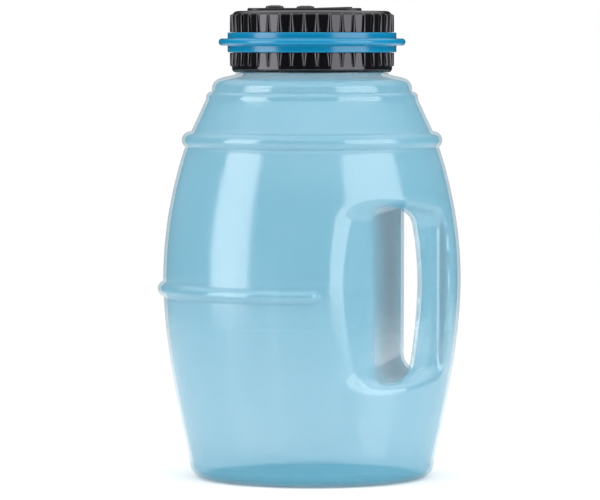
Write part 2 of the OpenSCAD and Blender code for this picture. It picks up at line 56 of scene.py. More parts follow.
# ---- driving sizes of the jar, in millimetres, as in the CAD model ----
WALL = 1.6
BELLY_R, BELLY_Z = 75.6, 100.0
FOOT_Z, FOOT_R, FOOT_ARC_X, DISH_R, DISH_H = 7.5, 7.0, 55.3, 50.0, 4.0
UPPER_DROP, LOWER_DROP, LOWER_BEND = 12.3, 13.5, 1.7
BEAD2_X, BEAD2_Z, BEAD2_R = 61.8, 171.0, 4.3
TAPER_R, TAPER_Z, TAPER_SLOPE = 61.3, 175.3, 0.462
BEAD1_X, BEAD1_Z, BEAD1_R = 50.9, 192.6, 2.9
SHOULDER_X, SHOULDER_Z, SHOULDER_R = 45.2, 196.9, 5.6
COLLAR_R, COLLAR_Z = 38.6, 204.9
NECK_R, MOUTH_R, RIM_Z = 36.6, 35.0, 220.7
THREAD_Z, THREAD_PITCH, THREAD_TURNS = 209.5, 4.0, 1.25
BAND_X, BAND_Z, BAND_R, BAND_END = 74.55, 95.7, 3.85, 80.4
SLOT_X, SLOT_Z0, SLOT_Z1, GRIP_T = 39.8, 51.7, 138.5, 17.6
FLARE_Y, GRIP_HALF = 51.5, 10.0
FLARE_LEAN, GRIP_LEAN = math.atan2(15.7, 20.4), math.atan2(8.0, 14.2)
POCKET_R, SLOT_LOW_R, SLOT_TOP_R, SLOT_OUT_R = 11.0, 7.2, 5.0, 7.0
LID_TURN = math.radians(10)


# ---- mesh helpers ----

def new_object(name, points, faces, smooth_below=35.0):
    """Mesh object from points in millimetres; edges sharper than smooth_below degrees stay crisp."""
    mesh = bpy.data.meshes.new(name)
    mesh.from_pydata([tuple(p) for p in np.asarray(points, float) * MM], [], [tuple(f) for f in faces])
    mesh.polygons.foreach_set("use_smooth", np.ones(len(mesh.polygons), bool))
    mesh.set_sharp_from_angle(angle=math.radians(smooth_below))
    mesh.update()
    obj = bpy.data.objects.new(name, mesh)
    bpy.context.scene.collection.objects.link(obj)
    return obj


def arc(cx, cz, r, start, end, steps):
    """Points of an arc about (cx, cz), angles in degrees."""
    angles = np.radians(np.linspace(start, end, steps + 1))
    return [(cx + r * math.cos(a), cz + r * math.sin(a)) for a in angles]


def line(p, q, steps):
    """Points from p to q, both included."""
    return [(p[0] + (q[0] - p[0]) * i / steps, p[1] + (q[1] - p[1]) * i / steps) for i in range(steps + 1)]


# ---- the jar's wall ----

def barrel_r(z):
    """Outer radius of the barrel at height z."""
    up = np.clip((z - BELLY_Z) / (BEAD2_Z - BELLY_Z), 0, None)
    down = np.clip((BELLY_Z - z) / (BELLY_Z - FOOT_Z), 0, None)
    return BELLY_R - UPPER_DROP * up ** 2 - LOWER_DROP * down ** LOWER_BEND


def side_r(theta, z, inset):
    """Radius of the side with its raised band, inset by the wall's thickness for the inside."""
    past = BAND_X * np.radians(np.clip(BAND_END - np.abs(np.degrees(theta)), 0, None))
    room = (BAND_R - inset) ** 2 - (z - BAND_Z) ** 2 - past ** 2
    band = np.where(room > 0, BAND_X + np.sqrt(np.clip(room, 0, None)), 0)
    return np.maximum(barrel_r(z) - inset, band)


def smooth_max(a, b, k):
    """The larger of a and b, blended where they are closer than k."""
    h = np.clip(k - np.abs(a - b), 0, None) / k
    return np.maximum(a, b) + h * h * k / 4


def rounded(a, b, r):
    """Distance to the corner where a and b meet, rounded to radius r."""
    u, v = np.clip(a + r, 0, None), np.clip(b + r, 0, None)
    return np.hypot(u, v) - r + np.minimum(np.maximum(a, b) + r, 0)


def grip_cut(x, y, z):
    """Distance to the hand slot and its finger pockets, negative inside them."""
    away = np.abs(y)
    grip_x = barrel_r(z) - GRIP_T
    slot_corner = np.where(x < 47, np.where(z < 95, SLOT_LOW_R, SLOT_TOP_R), SLOT_OUT_R)
    slot = rounded(np.maximum(SLOT_X - x, x - grip_x), np.maximum(SLOT_Z0 - z, z - SLOT_Z1), slot_corner)
    inner = -(x - SLOT_X) * math.cos(FLARE_LEAN) - (away - FLARE_Y) * math.sin(FLARE_LEAN)
    grip_side = (x - BELLY_R + GRIP_T) * math.sin(GRIP_LEAN) - (away - GRIP_HALF) * math.cos(GRIP_LEAN)
    spread = np.clip(away - 30, 0, None) * 0.16
    ends = np.maximum(SLOT_Z0 - spread - z, z - SLOT_Z1 - spread) * 0.987
    pocket = rounded(np.maximum(inner, grip_side), ends, POCKET_R)
    return -smooth_max(-slot, -pocket, 1.6)


def wall_field(inset, fillet):
    """Function of x, y, z that is negative in the solid bounded by the jar's outside (or by its inside)."""
    def field(x, y, z):
        side = np.hypot(x, y) - side_r(np.arctan2(y, x), z, inset)
        return smooth_max(side, inset - grip_cut(x, y, z), fillet)
    return field


def gradient(field, p, step=0.04):
    """Gradient of a field at the points p."""
    out = np.empty_like(p)
    for axis in range(3):
        d = np.zeros(3)
        d[axis] = step
        out[:, axis] = (field(*(p + d).T) - field(*(p - d).T)) / (2 * step)
    return out


def project(field, p, rounds=3):
    """Moves the points p onto the field's surface."""
    for _ in range(rounds):
        g = gradient(field, p)
        p = p - field(*p.T)[:, None] * g / np.maximum((g * g).sum(1), 0.2)[:, None]
    return p


def midpoints(v):
    """Borders between the values v, with one more beyond each end."""
    return np.concatenate([[1.5 * v[0] - 0.5 * v[1]], (v[1:] + v[:-1]) / 2, [1.5 * v[-1] - 0.5 * v[-2]]])


def surface_net(theta, zs, rs, field, inset, fillet):
    """Quad mesh of the field's surface on a grid of angle, height and radius.

    Away from the grip each column has one point, at the column's own angle and height, so that its rows
    join the plain rows above and below. Near the grip the points are spread evenly and put on the surface.
    Returns points, quads and the point numbers of the lowest and the highest row.
    """
    count = len(theta)
    step_back = (theta - np.roll(theta, 1)) % (2 * math.pi)
    theta_b = theta - step_back / 2
    z_b, r_b = midpoints(zs), midpoints(rs)
    tt, zz, rr = np.meshgrid(theta_b, z_b, r_b, indexing="ij")
    grid = np.stack([rr * np.cos(tt), rr * np.sin(tt), zz], -1)
    value = field(grid[..., 0], grid[..., 1], grid[..., 2])
    corners = [(i, j, k) for i in (0, 1) for j in (0, 1) for k in (0, 1)]

    def corner(a, i, j, k):
        a = np.roll(a, -i, 0)
        return a[:, j:a.shape[1] - 1 + j, k:a.shape[2] - 1 + k]

    inside = value < 0
    total = sum(corner(inside.astype(np.int8), *c) for c in corners)
    active = (total > 0) & (total < 8)
    index = np.full(active.shape, -1)
    index[active] = np.arange(active.sum())
    points = np.zeros((active.sum(), 3))
    weight = np.zeros(active.sum())
    for a in corners:
        for axis in range(3):
            if a[axis]:
                continue
            b = tuple(1 if n == axis else a[n] for n in range(3))
            va, vb = corner(value, *a)[active], corner(value, *b)[active]
            pa, pb = corner(grid, *a)[active], corner(grid, *b)[active]
            cross = (va < 0) != (vb < 0)
            t = (va[cross] / (va[cross] - vb[cross]))[:, None]
            points[cross] += pa[cross] + t * (pb[cross] - pa[cross])
            weight[cross] += 1
    points /= weight[:, None]

    quads = []
    for axis in range(3):
        u, v = [n for n in range(3) if n != axis]
        lo = inside
        hi = np.roll(inside, -1, 0) if axis == 0 else np.roll(inside, -1, axis)
        change = lo != hi
        if axis == 1:
            change[:, -1, :] = False
        if axis == 2:
            change[:, :, -1] = False
        at = np.argwhere(change)
        if axis != 1:
            at = at[(at[:, 1] >= 1) & (at[:, 1] < len(zs))]
        if axis != 2:
            at = at[(at[:, 2] >= 1) & (at[:, 2] < len(rs))]
        ring = []
        for du, dv in ((-1, -1), (0, -1), (0, 0), (-1, 0)):
            cell = at.copy()
            cell[:, u] += du
            cell[:, v] += dv
            cell[:, 0] %= count
            ring.append(index[cell[:, 0], cell[:, 1], cell[:, 2]])
        quads.append(np.stack(ring, 1))
    quads = np.concatenate(quads)

    where = np.argwhere(active)
    col, row = where[:, 0], where[:, 1]
    per_column = active.sum(2)
    plain_r = side_r(theta[col], zs[row], inset)
    at_side = np.stack([plain_r * np.cos(theta[col]), plain_r * np.sin(theta[col]), zs[row]], 1)
    clear = grip_cut(at_side[:, 0], at_side[:, 1], at_side[:, 2]) - inset > fillet + 1.5
    plain = clear & (per_column[col, row] == 1)
    points[plain] = at_side[plain]
    free = ~plain
    edges = np.concatenate([quads[:, [n, (n + 1) % 4]] for n in range(4)])
    edges = np.unique(np.sort(edges, 1), axis=0)
    degree = np.bincount(edges.ravel(), minlength=len(points))[:, None]
    for _ in range(12):
        near = np.zeros_like(points)
        np.add.at(near, edges[:, 0], points[edges[:, 1]])
        np.add.at(near, edges[:, 1], points[edges[:, 0]])
        moved = points + 0.6 * (near / np.maximum(degree, 1) - points)
        points[free] = project(field, moved[free], 1)
    points[free] = project(field, points[free], 3)

    # Every face is turned to look the way the field grows
    p = points[quads]
    normal = np.cross(p[:, 2] - p[:, 0], p[:, 3] - p[:, 1])
    wrong = (normal * gradient(field, p.mean(1))).sum(1) < 0
    quads[wrong] = quads[wrong][:, ::-1]
    rows = []
    for k in (0, len(zs) - 1):
        order = [index[j, k, :].max() for j in range(count)]
        rows.append(np.array(order))
    return points, quads, rows[0], rows[1]


def revolve_rows(profile, theta):
    """Points of every profile point turned through all angles, row by row."""
    prof = np.asarray(profile, float)
    r, z = prof[:, 0][:, None], prof[:, 1][:, None]
    return np.stack([r * np.cos(theta), r * np.sin(theta), np.broadcast_to(z, (len(prof), len(theta)))], -1)


def strip(low, high):
    """Quads between two rows of point numbers, facing out where high lies above low."""
    return np.stack([low, np.roll(low, -1), np.roll(high, -1), high], 1)


def neck_thread(theta, z):
    """How far the thread stands out of the neck."""
    turn = np.degrees(theta) % 360
    out = np.zeros_like(z)
    for lap in range(2):
        angle = turn + 360 * lap
        away = np.abs(z - THREAD_Z - THREAD_PITCH * angle / 360)
        ends = np.clip(np.minimum(angle, THREAD_TURNS * 360 - angle) / 20, 0, 1)
        out = np.maximum(out, np.clip((1.02 - away) / 0.5, 0, 1.1) * ends)
    return out


def outer_top_profile():
    """Outside of the jar from above the barrel's free part up to the rim."""
    bead2 = arc(BEAD2_X, BEAD2_Z, BEAD2_R, -56, 90, 16)
    foot_z = bead2[0][1]
    rows = [(float(barrel_r(z)), z) for z in np.linspace(156, foot_z - 0.6, 7)]
    rows += bead2 + [(TAPER_R + 0.12, TAPER_Z)]
    taper_top = 191.3
    rows += line((TAPER_R, TAPER_Z + 0.15), (TAPER_R - TAPER_SLOPE * (taper_top - TAPER_Z), taper_top), 9)
    rows += arc(BEAD1_X, BEAD1_Z, BEAD1_R, -14, 90, 12)
    rows += [(BEAD1_X - 0.05, BEAD1_Z + BEAD1_R + 0.6)]
    rows += arc(SHOULDER_X, SHOULDER_Z, SHOULDER_R, 0, 75, 12)
    rows += line((45.2, 202.75), (40.2, 203.85), 4)
    rows += arc(COLLAR_R + 1.1, 205.1, 1.1, 250, 190, 4)
    rows += [(COLLAR_R, COLLAR_Z - 0.12), (COLLAR_R - 0.12, COLLAR_Z), (NECK_R + 0.2, COLLAR_Z)]
    rows += [(NECK_R, COLLAR_Z + 0.2)] + line((NECK_R, 206.4), (NECK_R, 216.4), 34)
    rows += [(NECK_R, 219.2)] + arc(NECK_R - 0.5, RIM_Z - 0.5, 0.5, 0, 90, 4)
    return rows


def inner_top_profile():
    """Inside of the jar from the rim down to the barrel's free part."""
    w = WALL
    rows = arc(MOUTH_R + 0.4, RIM_Z - 0.4, 0.4, 90, 180, 3)
    rows += [(MOUTH_R, 212.0), (MOUTH_R, 205.2)]
    rows += arc(MOUTH_R + 1.6, 204.6, 1.6, 180, 250, 4)
    rows += [(40.5, 202.1)]
    rows += arc(SHOULDER_X, SHOULDER_Z, SHOULDER_R - w, 75, 0, 6)
    rows += arc(BEAD1_X, BEAD1_Z, BEAD1_R - w, 90, -14, 6)
    low = TAPER_Z - w
    slant = w / math.cos(math.atan(TAPER_SLOPE))
    rows += line((TAPER_R - TAPER_SLOPE * (190.6 - TAPER_Z) - slant, 190.6),
                 (TAPER_R - TAPER_SLOPE * (low - TAPER_Z) - slant, low + 0.1), 5)
    rows += arc(BEAD2_X, BEAD2_Z, BEAD2_R - w, 90, -56, 8)
    rows += [(float(barrel_r(z)) - w, z) for z in np.linspace(167.4, 156, 4)]
    return rows


def base_profile(inset, steps):
    """Jar's base from the centre out to below the barrel's free part."""
    rows = [(r, inset + DISH_H * (1 - (r / DISH_R) ** 2)) for r in np.linspace(4, DISH_R, steps)]
    rows += [(DISH_R + 1.2, inset), (FOOT_ARC_X, inset)]
    rows += arc(FOOT_ARC_X, FOOT_R, FOOT_R - inset, -80, 0, 8)
    if not inset:
        rows += [(62.3, FOOT_Z - 0.05), (62.12, FOOT_Z + 0.1)]
    rows += [(float(barrel_r(z)) - inset, z) for z in np.linspace(FOOT_Z + 1.4, 34, 9)]
    return rows


def spaced(*spans):
    """Values that run through spans of (end, step), starting at the first number."""
    at, out = spans[0], [spans[0]]
    for end, step in spans[1:]:
        n = max(1, round((end - at) / step))
        out += list(at + (end - at) * np.arange(1, n + 1) / n)
        at = end
    return np.array(out)


def jar_mesh():
    """The whole wall of the jar, outside and inside, as one closed mesh."""
    fine = spaced(-84, (84, 1.2))
    coarse = spaced(84, (276, 2.7))[1:-1]
    theta = np.radians(np.concatenate([fine, coarse]))
    theta = (theta + math.pi) % (2 * math.pi) - math.pi
    band = BAND_R - 0.15
    outer_z = spaced(36, (56, 1.25), (90, 2.2), (BAND_Z - band, 0.9), (BAND_Z + band, 0.9),
                     (101, 0.9), (130, 2.2), (154, 1.25))
    inner_z = spaced(36, (56, 2.0), (91, 3.0), (BAND_Z - band + WALL, 1.3), (BAND_Z + band - WALL, 1.0),
                     (101, 1.3), (130, 3.0), (154, 2.0))
    points, faces = [], []

    def add(p, f):
        offset = sum(len(q) for q in points)
        points.append(p)
        faces.append(np.asarray(f) + offset)
        return offset

    def rows_of(profile, wavy=False):
        rows = revolve_rows(profile, theta)
        if wavy:
            r = np.hypot(rows[..., 0], rows[..., 1])
            stand = neck_thread(np.arctan2(rows[..., 1], rows[..., 0]), rows[..., 2])
            stand = np.where(np.abs(r - NECK_R) < 0.01, stand, 0)
            rows[..., :2] *= ((r + stand) / r)[..., None]
        count = len(theta)
        ids = np.arange(len(rows) * count).reshape(len(rows), count)
        quads = np.concatenate([strip(ids[n], ids[n + 1]) for n in range(len(rows) - 1)])
        offset = add(rows.reshape(-1, 3), quads)
        return ids + offset

    def net_of(zs, rs, inset, fillet):
        p, q, low, high = surface_net(theta, zs, rs, wall_field(inset, fillet), inset, fillet)
        if inset:
            q = q[:, ::-1]
        offset = add(p, q)
        return low + offset, high + offset

    outer_rs, inner_rs = spaced(36.2, (80.6, 1.2)), spaced(33.2, (79.2, 1.6))
    joins = []
    base = rows_of(base_profile(0, 8))
    low, high = net_of(outer_z, outer_rs, 0.0, 3.0)
    top = rows_of(outer_top_profile(), wavy=True)
    joins += [(base[-1], low), (high, top[0])]
    inside = rows_of(inner_top_profile())
    joins.append((top[-1], inside[0]))
    low_in, high_in = net_of(inner_z, inner_rs, WALL, 3.4)
    floor = rows_of(base_profile(WALL, 6)[::-1])
    joins += [(inside[-1], high_in), (low_in, floor[0])]
    every = [f.tolist() for f in faces] + [strip(a, b).tolist() for a, b in joins]
    quads = [f for group in every for f in group]
    quads += [base[0][::-1].tolist(), floor[-1].tolist()]
    return np.concatenate(points), quads


def make_jar():
    points, faces = jar_mesh()
    # The CAD's facets stop just short of the round, so the wall is drawn in along X to stay in the CAD box
    low, high = (corner[0] / MM for corner in CAD_BOX)
    points[:, 0] *= np.where(points[:, 0] > 0, high / points[:, 0].max(), low / points[:, 0].min())
    jar = new_object("jar_shell", points, faces, 40)
    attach(jar, "jar")
    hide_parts("jar_body")
    return jar


# ---- general solids ----

def turn(points, angle=LID_TURN):
    """Points turned about the jar's axis."""
    p = np.asarray(points, float)
    c, s = math.cos(angle), math.sin(angle)
    return np.stack([c * p[..., 0] - s * p[..., 1], s * p[..., 0] + c * p[..., 1], p[..., 2]], -1)


def from_rows(name, rows, ring=False, smooth_below=35.0):
    """Solid between rows of points; the ends are capped, or joined to each other if ring is set."""
    rows = np.asarray(rows, float)
    ids = np.arange(rows.shape[0] * rows.shape[1]).reshape(rows.shape[:2])
    faces = [f for n in range(len(ids) - 1) for f in strip(ids[n], ids[n + 1]).tolist()]
    if ring:
        faces += strip(ids[-1], ids[0]).tolist()
    else:
        faces += [ids[0][::-1].tolist(), ids[-1].tolist()]
    return new_object(name, rows.reshape(-1, 3), faces, smooth_below)


def lathe(name, profile, steps=192, ring=False):
    """Solid of revolution; the profile runs so that the solid lies on its left."""
    theta = np.arange(steps) * 2 * math.pi / steps
    return from_rows(name, revolve_rows(profile, theta), ring)


def outline(at, size, r, z, steps=6):
    """Rectangle with round corners at height z, anticlockwise."""
    out = []
    for sx, sy, a0 in ((1, -1, -90), (1, 1, 0), (-1, 1, 90), (-1, -1, 180)):
        for i in range(steps + 1):
            a = math.radians(a0 + 90 * i / steps)
            out.append((at[0] + sx * (size[0] / 2 - r) + r * math.cos(a),
                        at[1] + sy * (size[1] / 2 - r) + r * math.sin(a), z))
    return out


def inset_loop(at, size, r, inset, z):
    """Outline drawn in by inset, with its corners kept round."""
    return outline(at, (size[0] - 2 * inset, size[1] - 2 * inset), max(r - inset, 0.08), z)


def slab(name, at, size, r, z0, z1, edge=0.3, low_edge=0.0):
    """Flat block in the lid's layout with rounded upper edges."""
    loops = [(0.0, z0)]
    if low_edge:
        loops = [(low_edge * (1 - math.sin(a)), z0 + low_edge * (1 - math.cos(a)))
                 for a in np.radians([0, 30, 60, 90])]
    if edge:
        loops += [(edge * (1 - math.cos(a)), z1 - edge * (1 - math.sin(a)))
                  for a in np.radians([0, 22, 45, 68, 90])]
    else:
        loops += [(0.0, z1)]
    return from_rows(name, turn([inset_loop(at, size, r, i, z) for i, z in loops]))


def post(name, at, r, z0, z1, steps=40):
    """Round bar in the lid's layout."""
    theta = np.arange(steps) * 2 * math.pi / steps
    rows = [[(at[0] + r * math.cos(t), at[1] + r * math.sin(t), z) for t in theta] for z in (z0, z1)]
    return from_rows(name, turn(rows))


def combine(obj, others, operation, smooth_below=35.0):
    """obj with the others cut away from it or added to it, as one clean solid."""
    for other in others:
        mod = obj.modifiers.new("combine", "BOOLEAN")
        mod.operation, mod.solver, mod.object = operation, "MANIFOLD", other
    graph = bpy.context.evaluated_depsgraph_get()
    mesh = bpy.data.meshes.new_from_object(obj.evaluated_get(graph))
    obj.modifiers.clear()
    obj.data = mesh
    mesh.polygons.foreach_set("use_smooth", np.ones(len(mesh.polygons), bool))
    mesh.set_sharp_from_angle(angle=math.radians(smooth_below))
    for other in others:
        bpy.data.objects.remove(other, do_unlink=True)
    return obj


def even_shading(obj):
    """Lets large flat faces stay flat beside small rounded edges."""
    mod = obj.modifiers.new("even shading", "WEIGHTED_NORMAL")
    mod.keep_sharp = True
    mod.weight = 100


def place(obj, body, slot_name, *nodes):
    """Puts a finished piece on its CAD body, in place of these CAD nodes."""
    even_shading(obj)
    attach(obj, body)
    if nodes:
        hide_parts(*nodes)
    return obj


# ---- lid shells ----

LID_R, RIB_OUT, RIB_COUNT = 40.6, 1.1, 40
LID_Z0, LID_Z1, COVER_Z0, PLATE_Z = 205.2, 236.3, 234.3, 237.7
RING_Z0, RING_Z1 = 215.4, 225.4
FLOOR_Z0, FLOOR_Z1 = 222.2, 223.7
TOP_ROUND, FOOT_ROUND = 3.0, 2.0
SKIRT_R = 38.1
CASE_SCREWS = [(27, 14), (27, -14), (-23.6, 19.2), (-23.6, -19.2)]
SMALL_SCREWS = [(1.5, 18.5), (1.5, -19), (-26, -6.5)]
DOOR_SCREW = (-25, 0)
SLOT_CX, SLOT_L, SLOT_W = 10.5, 33.4, 3.2
LCD_AT, LCD_SIZE = (-14, 5), (26, 15)
BUTTONS = [(-18.8, -12.5), (-3.3, -12.5)]
BUTTON_TOPS = [239.1, 238.9]
BUTTON_SIZE = (9.2, 6.4)
PLATE_X0, PLATE_X1, PLATE_HALF = -32.5, 24.9, 21.0
BEZEL_X0, BEZEL_X1 = 2.2, 20.2


def ribbed_rows(profile, ring_z, tip_z):
    """Rows of a shell whose outside carries ribs that narrow from ring_z to a round tip at tip_z."""
    across = np.array([-1.2, -1, -0.94, -0.78, -0.45, 0, 0.45, 0.78, 0.94, 1, 1.2])
    way = 1 if tip_z > ring_z else -1
    root_half, tip_half = 1.5, 0.8
    rows = []
    for r, z, outside in profile:
        along = min(max((z - ring_z) / (tip_z - ring_z), 0), 1)
        half = root_half + (tip_half - root_half) * along
        beyond = max(0.0, way * (z - tip_z) + tip_half) / tip_half
        stand = RIB_OUT * np.clip(1 - across ** 2 - beyond ** 2, 0, 1) ** 0.8 * outside
        row = []
        for i in range(RIB_COUNT):
            middle = 2 * math.pi * (i + 0.5) / RIB_COUNT
            for a, s in zip(across, stand):
                t = middle + a * half / LID_R
                row.append(((r + s) * math.cos(t), (r + s) * math.sin(t), z))
            t = middle + math.pi / RIB_COUNT
            row.append((r * math.cos(t), r * math.sin(t), z))
        rows.append(row)
    return np.array(rows)


def rib_heights(ring_z, tip_z):
    """Heights for the rows of a ribbed side, closer together round the ribs' tips."""
    way = 1 if tip_z > ring_z else -1
    round_z = tip_z - way * 0.8
    return list(np.linspace(ring_z, round_z, 5)) + [tip_z - way * 0.8 * (1 - math.sin(a))
                                                   for a in np.radians([15, 30, 45, 60, 75, 90])]


def make_top_housing():
    low = RING_Z1 + 0.1
    profile = [(4, COVER_Z0, 0), (20, COVER_Z0, 0), (38.9, COVER_Z0, 0), (38.9, low + 0.2, 0), (39.1, low, 0),
               (LID_R - 0.15, low, 0)]
    for n, z in enumerate(rib_heights(low, 234.8)):
        past = max(0.0, z - LID_Z1 + TOP_ROUND)
        inset = TOP_ROUND - math.sqrt(TOP_ROUND ** 2 - past ** 2)
        profile.append((LID_R - inset, z + 0.15 * (n == 0), 1))
    profile += [(x, z, 0) for x, z in arc(LID_R - TOP_ROUND, LID_Z1 - TOP_ROUND, TOP_ROUND, 36, 90, 8)]
    profile += [(30, LID_Z1, 0), (4, LID_Z1, 0)]
    top = from_rows("top_housing", ribbed_rows(profile, low, 234.8), smooth_below=50)
    plate_at = ((PLATE_X0 + PLATE_X1) / 2, 0)
    plate_size = (PLATE_X1 - PLATE_X0, 2 * PLATE_HALF)
    flare = [(-0.5, LID_Z1 - 0.3), (-0.5, LID_Z1)]
    flare += [(-0.5 + 0.5 * math.sin(a), LID_Z1 + 0.5 * (1 - math.cos(a))) for a in np.radians([30, 60, 90])]
    flare += [(0.45 * (1 - math.cos(a)), PLATE_Z - 0.45 * (1 - math.sin(a)))
              for a in np.radians([0, 22, 45, 68, 90])]
    plate = from_rows("plate", turn([inset_loop(plate_at, plate_size, 8, i, z) for i, z in flare]))
    extra = [plate]
    extra += [post("boss", at, 2.4, FLOOR_Z1 + 0.1, COVER_Z0 + 0.5) for at in CASE_SCREWS]
    extra += [post("boss", at, 2.0, 231.0, COVER_Z0 + 0.5) for at in SMALL_SCREWS]
    combine(top, extra, "UNION")
    lcd_out = (LCD_SIZE[0] + 0.2, LCD_SIZE[1] + 0.2)
    cuts = [slab("cut", LCD_AT, lcd_out, 1.5, PLATE_Z - 1.2, PLATE_Z + 1, 0),
            slab("cut", LCD_AT, (LCD_SIZE[0] - 3, LCD_SIZE[1] - 3), 0.6, COVER_Z0 - 1, PLATE_Z, 0),
            slab("cut", LCD_AT, (LCD_SIZE[0] + 0.4, LCD_SIZE[1] + 0.4), 0.4, COVER_Z0 - 1, COVER_Z0 + 1, 0),
            slab("cut", ((BEZEL_X0 + BEZEL_X1) / 2, 0), (BEZEL_X1 - BEZEL_X0 + 0.3, 38.3), 3,
                 PLATE_Z - 1, PLATE_Z + 1, 0),
            slab("cut", (SLOT_CX, 0), (SLOT_W + 0.6, SLOT_L + 0.6), 1.2, COVER_Z0 - 1, PLATE_Z, 0)]
    cuts += [slab("cut", at, (BUTTON_SIZE[0] + 0.6, BUTTON_SIZE[1] + 0.6), 2.3, COVER_Z0 - 1, 240, 0)
             for at in BUTTONS]
    cuts += [post("cut", at, 1.3, FLOOR_Z1 - 1, 232) for at in CASE_SCREWS]
    cuts += [post("cut", at, 0.8, 230.0, 234.8) for at in SMALL_SCREWS]
    combine(top, cuts, "DIFFERENCE", 50)
    return place(top, "lid", "lid_black", "lid_top_housing")


def make_lower_housing():
    top = RING_Z0 - 0.1
    profile = [(4, FLOOR_Z0, 0), (20, FLOOR_Z0, 0), (SKIRT_R, FLOOR_Z0, 0)]
    profile += [(SKIRT_R, z, 0) for z in np.linspace(212.6, 206.0, 27)]
    profile += [(SKIRT_R, LID_Z0 + 0.4, 0), (SKIRT_R + 0.4, LID_Z0, 0)]
    profile += [(x, z, 0) for x, z in arc(LID_R - FOOT_ROUND, LID_Z0 + FOOT_ROUND, FOOT_ROUND, -90, 0, 6)]
    profile += [(LID_R, z - 0.15 * (n == 0), 1) for n, z in enumerate(rib_heights(top, 208.2))][::-1]
    profile += [(LID_R - 0.15, top, 0), (39.7, top, 0), (39.7, RING_Z1 - 0.2, 0), (38.6, RING_Z1 - 0.2, 0),
                (38.6, 227.2, 0), (37.3, 227.2, 0), (37.3, FLOOR_Z1, 0), (20, FLOOR_Z1, 0), (4, FLOOR_Z1, 0)]
    rows = ribbed_rows(profile, top, 208.2)
    r = np.hypot(rows[..., 0], rows[..., 1])
    turns = (np.degrees(np.arctan2(rows[..., 1], rows[..., 0])) + 90) % 360
    away = np.abs(rows[..., 2] - (THREAD_Z - 1.55) - THREAD_PITCH * (turns - 90) / 360)
    ends = np.clip(np.minimum(turns, 360 - turns) / 20, 0, 1)
    on_skirt = (np.abs(r - SKIRT_R) < 0.01) * (rows[..., 2] < 213)
    inward = np.clip((0.92 - away) / 0.45, 0, 1.15) * ends * on_skirt
    rows[..., :2] *= ((r - inward) / r)[..., None]
    low = from_rows("lower_housing", rows, smooth_below=50)
    plug = lathe("plug", [(33.9, 217.8), (34.3, 217.8), (34.6, 218.4), (34.6, FLOOR_Z0 + 0.5),
                          (33.9, FLOOR_Z0 + 0.5)], 120, ring=True)
    box_x0, box_x1, box_half, box_z0 = -20.4, 4.4, 26.4, 210.6
    box_at, box_size = ((box_x0 + box_x1) / 2, 0), (box_x1 - box_x0, 2 * box_half)
    extra = [plug, slab("box", box_at, box_size, 0.8, box_z0, FLOOR_Z0 + 0.5, 0),
             post("boss", DOOR_SCREW, 3, box_z0, FLOOR_Z0 + 0.5),
             slab("web", (-21.5, 0), (4, 1.4), 0.1, box_z0 + 1, FLOOR_Z0 + 0.5, 0),
             post("boss", (-11.5, 7.9), 2.6, FLOOR_Z1 - 0.5, 223.9)]
    combine(low, extra, "UNION")
    cuts = [slab("cut", box_at, (box_size[0] - 2.8, box_size[1] - 2.8), 0.3, box_z0 - 1, FLOOR_Z0, 0)]
    cuts += [slab("cut", (x, 24.45), (4.4, 1.1), 0.3, FLOOR_Z0 - 1, FLOOR_Z1 + 1, 0) for x in (-13.4, -2.6)]
    cuts += [slab("cut", (SLOT_CX, 0), (6.2, 36.6), 0.3, FLOOR_Z0 - 1, FLOOR_Z1 + 1, 0),
             post("cut", DOOR_SCREW, 1.3, box_z0 - 1, 219),
             post("cut", (-11.5, 7.9), 1.02, FLOOR_Z0 + 0.5, FLOOR_Z1 + 1)]
    cuts += [post("cut", at, 1.7, FLOOR_Z0 - 1, FLOOR_Z1 + 1) for at in CASE_SCREWS]
    combine(low, cuts, "DIFFERENCE", 50)
    return place(low, "lid", "lid_black", "lid_lower_housing")


def make_trim_ring():
    """Blue ring: a band with a round lip standing out from its middle."""
    band_r, lip_x, lip_z, lip_half, fillet, edge = LID_R + 2.2, 45.6, 220.6, 1.8, 0.4, 0.5
    profile = [(40.0, RING_Z1 - 0.15), (40.0, RING_Z0 + 0.15), (40.15, RING_Z0)]
    profile += arc(band_r - edge, RING_Z0 + edge, edge, -90, 0, 5)
    profile += arc(band_r + fillet, lip_z - lip_half - fillet, fillet, 180, 90, 5)
    profile += arc(lip_x, lip_z, lip_half, -90, 90, 20)
    profile += arc(band_r + fillet, lip_z + lip_half + fillet, fillet, 270, 180, 5)
    profile += arc(band_r - edge, RING_Z1 - edge, edge, 0, 90, 5)
    profile += [(40.15, RING_Z1)]
    ring = lathe("trim_ring", profile, 288, ring=True)
    return place(ring, "lid", "ring_blue", "lid_trim_ring")


# ---- what the lid carries ----

def make_button(name, at, top, node):
    """Cap with a crowned top, the flange that keeps it in and the stem under it."""
    size = BUTTON_SIZE
    flange = (10.4, 7.6)
    low = COVER_Z0 - 1
    loops = [inset_loop(at, (3.0, 3.0), 1.49, 0, z) for z in (233.0, low)]
    loops += [outline(at, flange, 1, low), outline(at, flange, 1, low + 0.85)]
    loops += [outline(at, size, 2, low + 0.85)]
    loops += [inset_loop(at, size, 2, 1.1 * (1 - math.cos(a)), top - 0.25 - 1.1 * (1 - math.sin(a)))
              for a in np.radians([0, 15, 30, 45, 60, 75])]
    loops += [inset_loop(at, size, 2, i, top - 0.25 + 0.25 * (1 - ((3.2 - i) / 2.1) ** 2))
              for i in (1.4, 2.0, 2.6, 3.1)]
    cap = from_rows(name, turn(loops))
    return place(cap, node, "lid_black", node)


